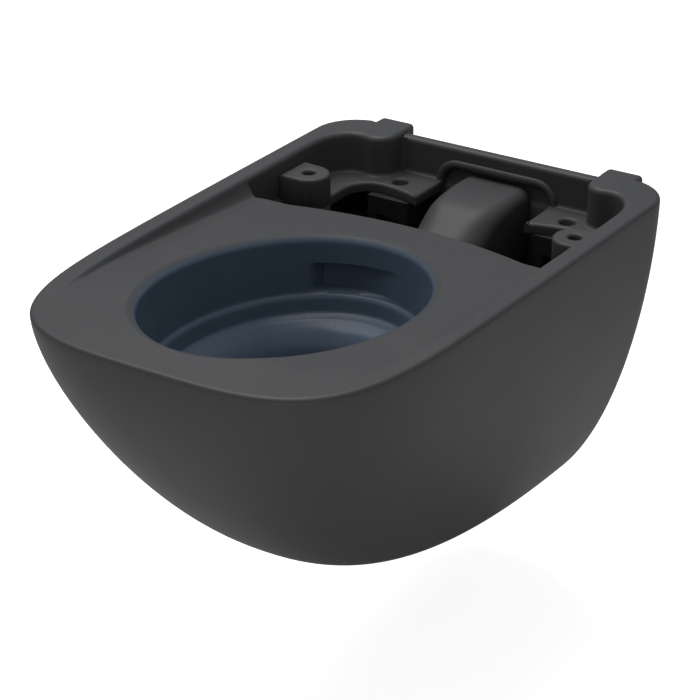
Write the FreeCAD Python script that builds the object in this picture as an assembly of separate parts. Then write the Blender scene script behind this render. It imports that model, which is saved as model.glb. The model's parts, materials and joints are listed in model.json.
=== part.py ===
import FreeCAD, Part
import math
import os

V = FreeCAD.Vector
os.makedirs("parts", exist_ok=True)

# Wall hung shower toilet pan. Millimetres, +Z up, the front faces -Y.
# The origin lies on the wall plane, midway between the two wall studs.

# Overall form of the ceramic
PAN_WIDTH = 360.0
PAN_LENGTH = 569.0
PAN_HEIGHT = 343.0
KEEL_FLAT = 3.0
RIM_ABOVE_STUDS = 100.0
REAR_CORNER = 45.0
PLAN_POWER = 10.0
PLAN_ROOT = 3.5
PLAN_TAPER = 0.025
KEEL_POWER = 2.5
KEEL_ROOT = 1.63
SECTION_POWER = 1.66
SECTION_ROOT = 2.27
WALL = 10.0
REAR_SETBACK = 12.0
REAR_WALL = 12.0
REAR_WALL_DROP = 5.0

# Rim and deck
RIM_CAP = 8.0
BORDER = 20.0
BORDER_DEPTH = 40.0
DECK_FALL = 23.0
DECK_FLAT = 64.0
DECK_THICK = 14.0
WELL_FRONT = 169.0
DECK_EDGE_R = 400.0
SCOOP_BLEND = 48.0
SCOOP_START = 0.2
SCOOP_DROP = 0.35

# Bowl
BOWL_LIP_X = 110.0
BOWL_LIP_Y = 149.0
BOWL_FROM_FRONT = 196.0
BOWL_WALL = 8.0
LEDGE_DEPTH = 64.0
LEDGE_STEP = 7.0
LIP_TAPER = 4.0
LEDGE_INSET = 9.0
BASIN_DEPTH = 130.0
BASIN_X = 80.0
BASIN_Y = 92.0
BASIN_LEAN = 0.82
NECK_DEPTH = 190.0
NECK_X = 56.0
NECK_Y = 66.0
NECK_LEAN = 0.47
SUMP_X = 34.0
SUMP_Y = 34.0
SUMP_CENTRE = 286.0
SUMP_DEPTH = 264.0
SLOT_WIDTH = 70.0
SLOT_HEIGHT = 22.0
SLOT_DEPTH = 50.0
SLOT_OFFSET = -25.0

# Flush channel and its inlet
INLET_ABOVE_STUDS = 35.0
INLET_BORE_R = 27.5
INLET_WALL = 8.5
SOCKET_WALL = 6.0
INLET_SOCKET = 42.0
CHANNEL_HALF = 36.0
CHANNEL_WALL = 8.0
CHANNEL_BEND = 14.0
CHANNEL_DIP = 46.0
HUMP_BEND_FROM_WALL = 96.0
HUMP_BEND_DROP = 8.0
HUMP_FOOT_FROM_WALL = 130.0
CHANNEL_RUN_FROM_WALL = 200.0
CHANNEL_FOOT = 92.0
CHANNEL_RUN_FOOT = 82.0
CHANNEL_SPREAD = 8.0
FLUSH_PIPE_R = 22.5
PIPE_CLEARANCE = 0.1
SEAL_LENGTH = 30.0
SEAL_LIP = 4.0
SEAL_LIP_THICK = 2.0

# Trap and outlet
OUTLET_BELOW_STUDS = 100.0
TRAP_R = 41.0
TRAP_BORE_R = 33.0
TRAP_INLET_DEPTH = 226.0
TRAP_LEAD = 8.0
TRAP_DIP_DEPTH = 274.0
TRAP_WEIR_DEPTH = 149.0
TRAP_BEND_R = 45.0
SPIGOT_R = 51.0
TRAP_DIP_FROM_WALL = 232.0
TRAP_CREST_FROM_WALL = 150.0
TRAP_FALL_FROM_WALL = 104.0
TRAP_RUN_FROM_WALL = 62.0
SPIGOT_BORE_R = 43.0
SPIGOT_LENGTH = 40.0
CONNECTOR_ROOM = 12.0

# Wall fixing
STUD_SPACING = 180.0
STUD_R = 6.0
STUD_CLEARANCE = 0.5
STUD_HOLE_R = 9.0
STUD_BOSS_R = 24.0
STUD_WEB = 30.0
FLANGE_INSET = 6.0
FLANGE_WIDTH = 22.0

# Towers, shelves and bosses in the rear well
TOWER_FROM_SIDE = 39.0
TOWER_WIDTH = 37.0
TOWER_FRONT = 54.0
REAR_BAND = 23.0
SHELF_DEPTH = 40.0
SHELF_THICK = 10.0
SHELF_INNER = 58.0
SHELF_FRONT = 74.0
SHELF_LOBE = 18.0
SHELF_LOBE_BACK = 6.0
SHELF_WAIST_IN = 4.0
SHELF_WAIST_BACK = 10.0
SHELF_SWELL_IN = 22.0
SHELF_TO_BOSS = 14.0
SHELF_HOLE_R = 7.5
SCREW_FROM_WALL = 50.0
BOSS_DEPTH = 14.0
BOSS_BOTTOM = 92.0
BOSS_FROM_SIDE = 40.0
BOSS_FROM_WALL = 131.0
BOSS_R = 20.0
BOSS_HOLE_R = 6.0
BOSS_HOLE_DEPTH = 30.0
ARCH_ABOVE_HUMP = 5.0
ARCH_CORNER = 16.0
ARCH_RECESS = 8.0
SOCKET_CLEARANCE = 0.3

# Clamp that grips each stud
BLOCK_X = 44.0
BLOCK_BELOW_STUD = 18.0
BLOCK_DEEP = 46.0
BLOCK_TOP_WEB = 12.0
SCREW_R = 3.9
SCREW_CLEARANCE = 0.08
SCREW_HEAD_R = 6.5
SCREW_HEAD = 8.0
SCREW_HEAD_SINK = 6.0
SCREW_KEY_R = 3.0
SCREW_KEY = 4.0
COLLAR_R = 6.0
COLLAR = 1.6
COLLAR_GAP = 0.1
SHOE = 24.0
SHOE_HEIGHT = 23.4
SHOE_GAP = 0.3
SADDLE_CLEARANCE = 0.3
SHOE_TRAVEL = 5.0

# How far a cutting tool runs past the face it opens
OVERSHOOT = 1.0

# Places worked out from the sizes above
REAR_PLANE = -REAR_SETBACK
WELL_REAR = -(REAR_SETBACK + REAR_WALL)
STUD_X = STUD_SPACING / 2
INLET_DEPTH = RIM_ABOVE_STUDS - INLET_ABOVE_STUDS
OUTLET_DEPTH = RIM_ABOVE_STUDS + OUTLET_BELOW_STUDS
HUMP_DEPTH = INLET_DEPTH - INLET_BORE_R - INLET_WALL
ARCH_DEPTH = HUMP_DEPTH - ARCH_ABOVE_HUMP
SHELF_BOTTOM = SHELF_DEPTH + SHELF_THICK
TOWER_OUTER = PAN_WIDTH / 2 - TOWER_FROM_SIDE
TOWER_INNER = TOWER_OUTER - TOWER_WIDTH
BOSS_X = PAN_WIDTH / 2 - BOSS_FROM_SIDE
DECK_FLAT_FRONT = PAN_LENGTH - DECK_FLAT
BOWL_CENTRE = PAN_LENGTH - BOWL_FROM_FRONT
BASIN_CENTRE = SUMP_CENTRE + BASIN_LEAN * (BOWL_CENTRE - SUMP_CENTRE)
NECK_CENTRE = SUMP_CENTRE + NECK_LEAN * (BOWL_CENTRE - SUMP_CENTRE)
FAR = 4 * PAN_LENGTH


def level(depth):
    return RIM_ABOVE_STUDS - depth


def box(x0, x1, y0, y1, depth0, depth1):
    return Part.makeBox(x1 - x0, y1 - y0, depth1 - depth0, V(x0, y0, level(depth1)))


def along_y(radius, y0, y1, x, depth):
    return Part.makeCylinder(radius, y1 - y0, V(x, y0, level(depth)), V(0, 1, 0))


def along_z(radius, depth0, depth1, x, y):
    return Part.makeCylinder(radius, depth1 - depth0, V(x, y, level(depth1)))


def prism(edges, depth0, depth1):
    face = Part.Face(Part.Wire(Part.__sortEdges__(edges)))
    face.translate(V(0, 0, level(depth1)))
    return face.extrude(V(0, 0, depth1 - depth0))


def mirrored(shape):
    return shape.mirror(V(0, 0, 0), V(1, 0, 0))


# Straight runs joined by tangent arcs, as an open path or a closed loop
def rounded(points, radius, closed):
    count = len(points)
    turns = []
    for i, here in enumerate(points):
        if not closed and i in (0, count - 1):
            turns.append((here, None, here))
            continue
        back = (points[i - 1] - here).normalize()
        ahead = (points[(i + 1) % count] - here).normalize()
        half_turn = back.getAngle(ahead) / 2
        reach = radius / math.tan(half_turn)
        crown = (back + ahead).normalize() * (radius / math.sin(half_turn) - radius)
        turns.append((here + back * reach, here + crown, here + ahead * reach))
    edges = []
    for i in range(count):
        entry, crown, leave = turns[i]
        if crown:
            edges.append(Part.Arc(entry, crown, leave).toShape())
        if closed or i < count - 1:
            edges.append(Part.makeLine(leave, turns[(i + 1) % count][0]))
    return Part.Wire(edges)


# Hull: every waterline follows one boat-section formula, inset for inner faces
def keel_depth(y, inset):
    share = -y / (PAN_LENGTH - inset)
    return (PAN_HEIGHT - inset) * (1 - share ** KEEL_POWER) ** (1 / KEEL_ROOT)


def half_width(y, depth, inset):
    share = -y / (PAN_LENGTH - inset)
    plan = (PAN_WIDTH / 2 - inset) * (1 - PLAN_TAPER * share ** 2)
    plan = plan * max(1 - share ** PLAN_POWER, 0) ** (1 / PLAN_ROOT)
    sunk = min(max(depth, 0) / max(keel_depth(y, inset), 1e-6), 1)
    return plan * (1 - sunk ** SECTION_POWER) ** (1 / SECTION_ROOT)


def front_reach(depth, inset):
    sunk = max(depth, 0) / (PAN_HEIGHT - inset)
    return -(PAN_LENGTH - inset) * (1 - sunk ** KEEL_ROOT) ** (1 / KEEL_POWER)


SIDE_SHARES = (0.3, 0.45, 0.6, 0.75, 0.85, 0.92, 0.96, 0.985, 0.996)
CORNER_TURNS = (0, 30, 60, 90)


def waterline(depth, inset, rear):
    front = front_reach(depth, inset)
    corner = REAR_CORNER * half_width(rear, depth, inset) / (PAN_WIDTH / 2 - inset)
    side = []
    for turn in CORNER_TURNS:
        lean = math.radians(turn)
        y = rear - corner * (1 - math.cos(lean))
        x = half_width(y, depth, inset) - corner * (1 - math.sin(lean))
        side.append((x, y))
    for share in SIDE_SHARES:
        y = front * share
        side.append((half_width(y, depth, inset), y))
    points = [V(x, y, level(depth)) for x, y in side]
    points.append(V(0, front, level(depth)))
    points += [V(-x, y, level(depth)) for x, y in reversed(side)]
    steps = [i / (len(points) - 1) for i in range(len(points))]
    curve = Part.BSplineCurve()
    curve.interpolate(Points=points, Parameters=steps)
    back = Part.LineSegment(points[-1], points[0])
    return Part.Wire([curve.toShape(), back.toShape()])


DEPTH_SHARES = (0, 0.12, 0.26, 0.4, 0.54, 0.67, 0.78, 0.87, 0.94, 1)


def hull(inset, rear):
    deepest = PAN_HEIGHT - inset - KEEL_FLAT
    wires = [waterline(deepest * share, inset, rear) for share in DEPTH_SHARES]
    return Part.makeLoft(wires, True, False)


def below(depth):
    return box(-FAR, FAR, -FAR, FAR, depth, FAR)


def above(depth):
    return box(-FAR, FAR, -FAR, FAR, -FAR, depth)


def ahead_of(y):
    return box(-FAR, FAR, -FAR, y, -FAR, FAR)


def behind(y):
    return box(-FAR, FAR, y, FAR, -FAR, FAR)


outer = hull(0.0, REAR_PLANE)
cavity = hull(WALL, REAR_PLANE)


# Inner edge of the border: the rim outline moved in, with a bay back to the rear wall
def border_prism():
    face = Part.Face(waterline(0.0, BORDER, WELL_REAR - REAR_BAND))
    face.translate(V(0, 0, -BORDER_DEPTH))
    opening = face.extrude(V(0, 0, BORDER_DEPTH + RIM_CAP))
    half = (TOWER_INNER + TOWER_OUTER) / 2
    bay_front = WELL_REAR - REAR_BAND - REAR_CORNER
    bay = box(-half, half, bay_front, WELL_REAR, -RIM_CAP, BORDER_DEPTH)
    return opening.fuse(bay).removeSplitter()


inside_border = border_prism()


# Towers: prisms with a rounded nose, flush with the rim, that reach the wall
def tower():
    nose = (TOWER_OUTER - TOWER_INNER) / 2
    centre = (TOWER_OUTER + TOWER_INNER) / 2
    straight = -TOWER_FRONT + nose
    arc = Part.Arc(V(TOWER_INNER, straight, 0), V(centre, -TOWER_FRONT, 0), V(TOWER_OUTER, straight, 0))
    edges = [
        arc.toShape(),
        Part.makeLine(V(TOWER_OUTER, straight, 0), V(TOWER_OUTER, 0, 0)),
        Part.makeLine(V(TOWER_OUTER, 0, 0), V(TOWER_INNER, 0, 0)),
        Part.makeLine(V(TOWER_INNER, 0, 0), V(TOWER_INNER, straight, 0)),
    ]
    return prism(edges, 0, SHELF_DEPTH)


right_tower = tower()
left_tower = mirrored(right_tower)
towers = right_tower.fuse(left_tower)


# Shelves: waved front edge, one screw hole each, carried by the rear wall and the side
def shelf():
    end = PAN_WIDTH / 2 - BORDER
    front = -SHELF_FRONT
    start = V(SHELF_INNER, front, 0)
    lobe = V(SHELF_INNER + SHELF_LOBE, front + SHELF_LOBE_BACK, 0)
    waist = V(TOWER_INNER - SHELF_WAIST_IN, front + SHELF_WAIST_BACK, 0)
    swell = V(TOWER_OUTER - SHELF_SWELL_IN, front, 0)
    meet = V(BOSS_X - SHELF_TO_BOSS, -BOSS_FROM_WALL, 0)
    edges = [
        Part.makeLine(V(SHELF_INNER, WELL_REAR, 0), start),
        Part.Arc(start, lobe, waist).toShape(),
        Part.Arc(waist, swell, meet).toShape(),
        Part.makeLine(meet, V(end, -BOSS_FROM_WALL, 0)),
        Part.makeLine(V(end, -BOSS_FROM_WALL, 0), V(end, WELL_REAR, 0)),
        Part.makeLine(V(end, WELL_REAR, 0), V(SHELF_INNER, WELL_REAR, 0)),
    ]
    plate = prism(edges, SHELF_DEPTH, SHELF_BOTTOM)
    hole = along_z(SHELF_HOLE_R, SHELF_DEPTH - OVERSHOOT, SHELF_BOTTOM + OVERSHOOT, STUD_X, -SCREW_FROM_WALL)
    return plate.cut(hole)


# Front bosses: D-shaped pillars against the side wall, with a blind screw hole
def boss_pillar():
    wall_x = PAN_WIDTH / 2 - BORDER
    y = -BOSS_FROM_WALL
    edges = [
        Part.Arc(V(BOSS_X, y + BOSS_R, 0), V(BOSS_X - BOSS_R, y, 0), V(BOSS_X, y - BOSS_R, 0)).toShape(),
        Part.makeLine(V(BOSS_X, y - BOSS_R, 0), V(wall_x, y - BOSS_R, 0)),
        Part.makeLine(V(wall_x, y - BOSS_R, 0), V(wall_x, y + BOSS_R, 0)),
        Part.makeLine(V(wall_x, y + BOSS_R, 0), V(BOSS_X, y + BOSS_R, 0)),
    ]
    return prism(edges, BOSS_DEPTH, BOSS_BOTTOM)


def boss():
    hole = along_z(BOSS_HOLE_R, BOSS_DEPTH - OVERSHOOT, BOSS_DEPTH + BOSS_HOLE_DEPTH, BOSS_X, -BOSS_FROM_WALL)
    return boss_pillar().cut(hole)


# Trap: rises from the sump over the weir and falls to the wall outlet
def trap_tube(radius):
    route = [
        V(0, -SUMP_CENTRE - TRAP_LEAD, level(TRAP_INLET_DEPTH)),
        V(0, -TRAP_DIP_FROM_WALL, level(TRAP_DIP_DEPTH)),
        V(0, -TRAP_CREST_FROM_WALL, level(TRAP_WEIR_DEPTH)),
        V(0, -TRAP_FALL_FROM_WALL, level(TRAP_WEIR_DEPTH)),
        V(0, -TRAP_RUN_FROM_WALL, level(OUTLET_DEPTH)),
        V(0, 0, level(OUTLET_DEPTH)),
    ]
    ring = Part.Wire([Part.makeCircle(radius, route[0], route[1] - route[0])])
    return rounded(route, TRAP_BEND_R, False).makePipeShell([ring], True, False)


# Bowl: ellipses from the lip to the sump, cast as a ring down to the ledge, a basin and a sump
def bowl_form(grow):
    rows = (
        (-RIM_CAP, BOWL_LIP_X, BOWL_LIP_Y, BOWL_CENTRE),
        (LEDGE_DEPTH, BOWL_LIP_X - LIP_TAPER, BOWL_LIP_Y - LIP_TAPER, BOWL_CENTRE),
        (LEDGE_DEPTH + LEDGE_STEP, BOWL_LIP_X - LIP_TAPER - LEDGE_INSET, BOWL_LIP_Y - LIP_TAPER - LEDGE_INSET,
         BOWL_CENTRE),
        (BASIN_DEPTH, BASIN_X, BASIN_Y, BASIN_CENTRE),
        (NECK_DEPTH, NECK_X, NECK_Y, NECK_CENTRE),
        (SUMP_DEPTH + grow, SUMP_X, SUMP_Y, SUMP_CENTRE),
    )
    wires = []
    for depth, radius_x, radius_y, centre in rows:
        middle = V(0, -centre, level(depth))
        along = V(0, -centre - radius_y - grow, level(depth))
        across = V(radius_x + grow, -centre, level(depth))
        wires.append(Part.Wire([Part.Ellipse(along, across, middle).toShape()]))
    wall = Part.makeLoft(wires[:3], True, True)
    basin = Part.makeLoft(wires[2:], True, False)
    return wall.fuse(basin)


bowl_outer = bowl_form(BOWL_WALL)
bowl_inner = bowl_form(0.0)


# Deck: a plane that falls towards the rear well, hollowed up to the border at its sides
def deck_depth(y):
    return DECK_FALL * max(DECK_FLAT_FRONT + y, 0) / (DECK_FLAT_FRONT - WELL_FRONT)


def over_deck(lower):
    points = (
        (-FAR, lower),
        (-DECK_FLAT_FRONT, lower),
        (WELL_REAR, deck_depth(WELL_REAR) + lower),
        (WELL_REAR, -FAR),
        (-FAR, -FAR),
    )
    corners = [V(-FAR, y, level(depth)) for y, depth in points]
    return Part.Face(Part.makePolygon(corners + corners[:1])).extrude(V(2 * FAR, 0, 0))


# The deck's rear edge bows back over the well
def ahead_of_edge():
    return along_z(DECK_EDGE_R, -FAR, FAR, 0, -WELL_FRONT - DECK_EDGE_R)


def scoop_section(y):
    fall = max(deck_depth(y), SCOOP_START)
    half = PAN_WIDTH / 2 - BORDER
    drop = SCOOP_DROP * fall
    rise = fall - drop
    radius = (SCOOP_BLEND ** 2 + rise ** 2) / (2 * rise)
    lean = math.asin(SCOOP_BLEND / radius) / 2
    foot = half - SCOOP_BLEND
    mid_x = foot + radius * math.sin(lean)
    mid_depth = fall - radius * (1 - math.cos(lean))

    def at(x, depth):
        return V(x, y, level(depth))

    return Part.Wire([
        Part.makeLine(at(-half, -RIM_CAP), at(half, -RIM_CAP)),
        Part.makeLine(at(half, -RIM_CAP), at(half, drop)),
        Part.Arc(at(half, drop), at(mid_x, mid_depth), at(foot, fall)).toShape(),
        Part.makeLine(at(foot, fall), at(-foot, fall)),
        Part.Arc(at(-foot, fall), at(-mid_x, mid_depth), at(-half, drop)).toShape(),
        Part.makeLine(at(-half, drop), at(-half, -RIM_CAP)),
    ])


def make_rim_deck():
    ring = outer.common(above(RIM_CAP)).common(ahead_of(WELL_REAR)).cut(inside_border)
    scoop = Part.makeLoft([scoop_section(-DECK_FLAT_FRONT), scoop_section(WELL_REAR)], True, True)
    plate = inside_border.common(over_deck(DECK_THICK)).common(ahead_of_edge()).common(below(0))
    deck = ring.fuse(plate.cut(scoop))
    return deck.cut(bowl_outer).cut(towers).removeSplitter()


def make_pan_shell():
    shell = outer.common(below(RIM_CAP)).common(ahead_of(WELL_REAR))
    shell = shell.cut(inside_border).cut(cavity.common(below(BORDER_DEPTH)))
    return shell.cut(towers)


def make_bowl():
    hollow = bowl_inner.fuse(trap_tube(TRAP_BORE_R))
    shell = bowl_outer.cut(hollow).cut(over_deck(0.0))
    slot = box(SLOT_OFFSET - SLOT_WIDTH / 2, SLOT_OFFSET + SLOT_WIDTH / 2, -BOWL_CENTRE, 0,
               SLOT_DEPTH - SLOT_HEIGHT / 2, SLOT_DEPTH + SLOT_HEIGHT / 2)
    return shell.cut(slot)


# Flush channel: a hump behind the bowl, from the wall inlet to the slot in the bowl
def channel_form(shrink):
    socket_foot = INLET_DEPTH + INLET_BORE_R + INLET_WALL
    slot_half = SLOT_WIDTH / 2 - SLOT_OFFSET + CHANNEL_WALL
    slot_top = SLOT_DEPTH - SLOT_HEIGHT / 2 - CHANNEL_WALL
    slot_foot = SLOT_DEPTH + SLOT_HEIGHT / 2 + CHANNEL_WALL
    rows = (
        (WELL_REAR, HUMP_DEPTH, socket_foot, CHANNEL_HALF),
        (-INLET_SOCKET - REAR_SETBACK, HUMP_DEPTH, socket_foot, CHANNEL_HALF),
        (-HUMP_BEND_FROM_WALL, HUMP_DEPTH + HUMP_BEND_DROP, socket_foot, CHANNEL_HALF),
        (-HUMP_FOOT_FROM_WALL, CHANNEL_DIP, CHANNEL_FOOT, CHANNEL_HALF),
        (-CHANNEL_RUN_FROM_WALL, CHANNEL_DIP, CHANNEL_RUN_FOOT, CHANNEL_HALF + CHANNEL_SPREAD),
        (-BOWL_CENTRE + BOWL_LIP_Y / 2, slot_top, slot_foot, slot_half),
    )
    wires = []
    for y, top, foot, half in rows:
        side = half - shrink
        high = level(top + shrink)
        low = level(foot - shrink)
        corners = [V(-side, y, low), V(side, y, low), V(side, y, high), V(-side, y, high)]
        wires.append(rounded(corners, CHANNEL_BEND - shrink, True))
    return Part.makeLoft(wires, True, False)


def make_flush_channel():
    socket = along_y(INLET_BORE_R + SOCKET_WALL, -INLET_SOCKET, -SEAL_LIP_THICK, 0, INLET_DEPTH)
    body = channel_form(0.0).fuse(socket)
    passage = channel_form(CHANNEL_WALL).common(ahead_of(-INLET_SOCKET - REAR_SETBACK))
    bore = along_y(INLET_BORE_R, -INLET_SOCKET - REAR_SETBACK - OVERSHOOT, 0, 0, INLET_DEPTH)
    under_deck = over_deck(DECK_THICK).common(ahead_of_edge())
    return body.cut(under_deck).cut(passage).cut(bore).cut(bowl_outer).removeSplitter()


def make_flush_inlet_seal():
    sleeve = along_y(INLET_BORE_R, -SEAL_LENGTH, 0, 0, INLET_DEPTH)
    lip = along_y(INLET_BORE_R + SEAL_LIP, -SEAL_LIP_THICK, 0, 0, INLET_DEPTH)
    bore = along_y(FLUSH_PIPE_R + PIPE_CLEARANCE, -SEAL_LENGTH - OVERSHOOT, OVERSHOOT, 0, INLET_DEPTH)
    return sleeve.fuse(lip).cut(bore).removeSplitter()


def make_trap_bend():
    spigot = along_y(SPIGOT_R, -SPIGOT_LENGTH, 0, 0, OUTLET_DEPTH)
    mouth = along_y(SPIGOT_BORE_R, -SPIGOT_LENGTH + SPIGOT_R - SPIGOT_BORE_R, 0, 0, OUTLET_DEPTH)
    bend = trap_tube(TRAP_R).fuse(spigot)
    return bend.cut(trap_tube(TRAP_BORE_R)).cut(mouth).cut(bowl_outer).removeSplitter()


# Rear wall: closes the shell, with the arch set in over the hump and the wall openings
def arch_prism(length):
    foot = level(INLET_DEPTH + INLET_BORE_R + INLET_WALL + ARCH_ABOVE_HUMP)
    top = level(ARCH_DEPTH)
    corners = [
        V(-SHELF_INNER, WELL_REAR, foot),
        V(SHELF_INNER, WELL_REAR, foot),
        V(SHELF_INNER, WELL_REAR, top),
        V(-SHELF_INNER, WELL_REAR, top),
    ]
    return Part.Face(rounded(corners, ARCH_CORNER, True)).extrude(V(0, length, 0))


def stud_holes(radius):
    right = along_y(radius, WELL_REAR, 0, STUD_X, RIM_ABOVE_STUDS)
    return right.fuse(mirrored(right))


def make_rear_wall():
    wall = outer.common(behind(WELL_REAR)).cut(towers)
    lowered = box(-TOWER_INNER, TOWER_INNER, WELL_REAR, 0, -RIM_CAP, REAR_WALL_DROP)
    outlet = along_y(SPIGOT_R + CONNECTOR_ROOM, WELL_REAR, 0, 0, OUTLET_DEPTH)
    inlet = along_y(INLET_BORE_R + SOCKET_WALL + SOCKET_CLEARANCE, WELL_REAR, 0, 0, INLET_DEPTH)
    wall = wall.cut(lowered).cut(arch_prism(ARCH_RECESS)).cut(inlet)
    return wall.cut(outlet).cut(stud_holes(STUD_HOLE_R))


# Wall flange: a ring set in from the hull's rear edge, so a shadow gap shows at the wall
def flange_face(inset):
    deepest = PAN_HEIGHT - KEEL_FLAT - inset
    side = []
    for share in DEPTH_SHARES:
        depth = SHELF_DEPTH + inset - FLANGE_INSET + share * (deepest - SHELF_DEPTH - inset + FLANGE_INSET)
        half = half_width(REAR_PLANE, depth, 0.0)
        side.append((half - REAR_CORNER * half / (PAN_WIDTH / 2) - inset, depth))
    side = [(x, depth) for x, depth in side if x > 0]
    right = [V(x, REAR_PLANE, level(depth)) for x, depth in side]
    left = [V(-point.x, point.y, point.z) for point in right]
    curves = []
    for points in (right, left):
        curve = Part.BSplineCurve()
        curve.interpolate(Points=points)
        curves.append(curve.toShape())
    top = Part.makeLine(left[0], right[0])
    foot = Part.makeLine(right[-1], left[-1])
    return Part.Face(Part.Wire(Part.__sortEdges__([curves[0], foot, curves[1], top])))


def make_wall_flange():
    back = V(0, REAR_SETBACK, 0)
    ring = flange_face(FLANGE_INSET).extrude(back).cut(flange_face(FLANGE_INSET + FLANGE_WIDTH).extrude(back))
    right = along_y(STUD_BOSS_R, REAR_PLANE, 0, STUD_X, RIM_ABOVE_STUDS)
    web = box(STUD_X, PAN_WIDTH / 2, REAR_PLANE, 0,
              RIM_ABOVE_STUDS - STUD_WEB / 2, RIM_ABOVE_STUDS + STUD_WEB / 2)
    right = right.fuse(web.common(flange_face(FLANGE_INSET).extrude(back)))
    flange = ring.fuse(right).fuse(mirrored(right))
    return flange.cut(arch_prism(-WELL_REAR)).cut(stud_holes(STUD_HOLE_R)).cut(towers).removeSplitter()


def make_stud_bushes():
    bore = STUD_R + STUD_CLEARANCE
    right = along_y(STUD_HOLE_R, WELL_REAR, 0, STUD_X, RIM_ABOVE_STUDS)
    right = right.cut(along_y(bore, WELL_REAR, 0, STUD_X, RIM_ABOVE_STUDS))
    return Part.makeCompound([right, mirrored(right)])


# Stud clamp: a captive screw draws a shoe down onto the wall stud
HEAD_SEAT = SHELF_BOTTOM + SCREW_HEAD_SINK
WEB_BOTTOM = SHELF_BOTTOM + SCREW_HEAD_SINK + BLOCK_TOP_WEB
SHOE_TOP = WEB_BOTTOM + COLLAR_GAP + COLLAR + SHOE_GAP
SHOE_BOTTOM = SHOE_TOP + SHOE_HEIGHT
SCREW_Y = -SCREW_FROM_WALL


def make_clamp_block():
    block = box(STUD_X - BLOCK_X / 2, STUD_X + BLOCK_X / 2, SCREW_Y - BLOCK_DEEP / 2, WELL_REAR,
                SHELF_BOTTOM, RIM_ABOVE_STUDS + BLOCK_BELOW_STUD)
    room = SHOE / 2 + SHOE_GAP
    slot = box(STUD_X - room, STUD_X + room, SCREW_Y - BLOCK_DEEP, SCREW_Y + room,
               WEB_BOTTOM, RIM_ABOVE_STUDS)
    stud = along_y(STUD_R + STUD_CLEARANCE, SCREW_Y - BLOCK_DEEP, WELL_REAR, STUD_X, RIM_ABOVE_STUDS)
    head = along_z(SCREW_HEAD_R + SCREW_CLEARANCE, SHELF_BOTTOM, HEAD_SEAT, STUD_X, SCREW_Y)
    shank = along_z(SCREW_R + SCREW_CLEARANCE, HEAD_SEAT, WEB_BOTTOM, STUD_X, SCREW_Y)
    return block.cut(slot).cut(stud).cut(head).cut(shank)


def make_clamp_screw():
    head_top = HEAD_SEAT - SCREW_HEAD
    head = along_z(SCREW_HEAD_R, head_top, HEAD_SEAT - COLLAR_GAP, STUD_X, SCREW_Y)
    shank = along_z(SCREW_R, head_top + SCREW_KEY, SHOE_BOTTOM - STUD_R, STUD_X, SCREW_Y)
    collar = along_z(COLLAR_R, WEB_BOTTOM + COLLAR_GAP, WEB_BOTTOM + COLLAR_GAP + COLLAR, STUD_X, SCREW_Y)
    corners = []
    for i in range(6):
        turn = math.radians(60 * i)
        corners.append(V(STUD_X + SCREW_KEY_R * math.cos(turn), SCREW_Y + SCREW_KEY_R * math.sin(turn),
                         level(head_top + SCREW_KEY)))
    key = Part.Face(Part.makePolygon(corners + corners[:1])).extrude(V(0, 0, SCREW_KEY))
    return head.fuse(shank).fuse(collar).cut(key).removeSplitter()


def make_clamp_shoe():
    half = SHOE / 2
    shoe = box(STUD_X - half, STUD_X + half, SCREW_Y - half, SCREW_Y + half, SHOE_TOP, SHOE_BOTTOM)
    thread = along_z(SCREW_R + SCREW_CLEARANCE, SHOE_TOP, SHOE_BOTTOM, STUD_X, SCREW_Y)
    saddle = along_y(STUD_R + SADDLE_CLEARANCE, SCREW_Y - half, SCREW_Y + half,
                     STUD_X, RIM_ABOVE_STUDS - SHOE_TRAVEL)
    return shoe.cut(thread).cut(saddle)


def within_shell(shape):
    room = cavity.common(below(BORDER_DEPTH)).fuse(inside_border)
    return shape.common(room).common(ahead_of(WELL_REAR))


bowl = make_bowl()
right_shelf = within_shell(shelf().cut(boss_pillar())).cut(towers)
right_boss = within_shell(boss())
right_block = make_clamp_block()
right_screw = make_clamp_screw()
right_shoe = make_clamp_shoe()

parts = {
    "pan_shell": make_pan_shell(),
    "rim_deck": make_rim_deck(),
    "bowl_ring": bowl.common(above(LEDGE_DEPTH)),
    "bowl_basin": bowl.common(below(LEDGE_DEPTH)).common(above(NECK_DEPTH)),
    "bowl_sump": bowl.common(below(NECK_DEPTH)),
    "trap_bend": make_trap_bend(),
    "flush_channel": make_flush_channel(),
    "flush_inlet_seal": make_flush_inlet_seal(),
    "rear_wall": make_rear_wall(),
    "wall_flange": make_wall_flange(),
    "stud_bushes": make_stud_bushes(),
    "right_tower": right_tower,
    "right_rear_shelf": right_shelf,
    "right_front_boss": right_boss,
    "right_clamp_block": right_block,
    "right_clamp_screw": right_screw,
    "right_clamp_shoe": right_shoe,
}
for name in [key for key in parts if key.startswith("right_")]:
    parts["left_" + name[len("right_"):]] = mirrored(parts[name])

for name, shape in parts.items():
    shape.exportStep("parts/" + name + ".step")
    print(name, len(shape.Solids), shape.isValid(), round(shape.Volume / 1000, 2), "cm3")
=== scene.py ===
import json
import bmesh
import bpy
import numpy as np
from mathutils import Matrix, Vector
from mathutils.geometry import tessellate_polygon


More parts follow.
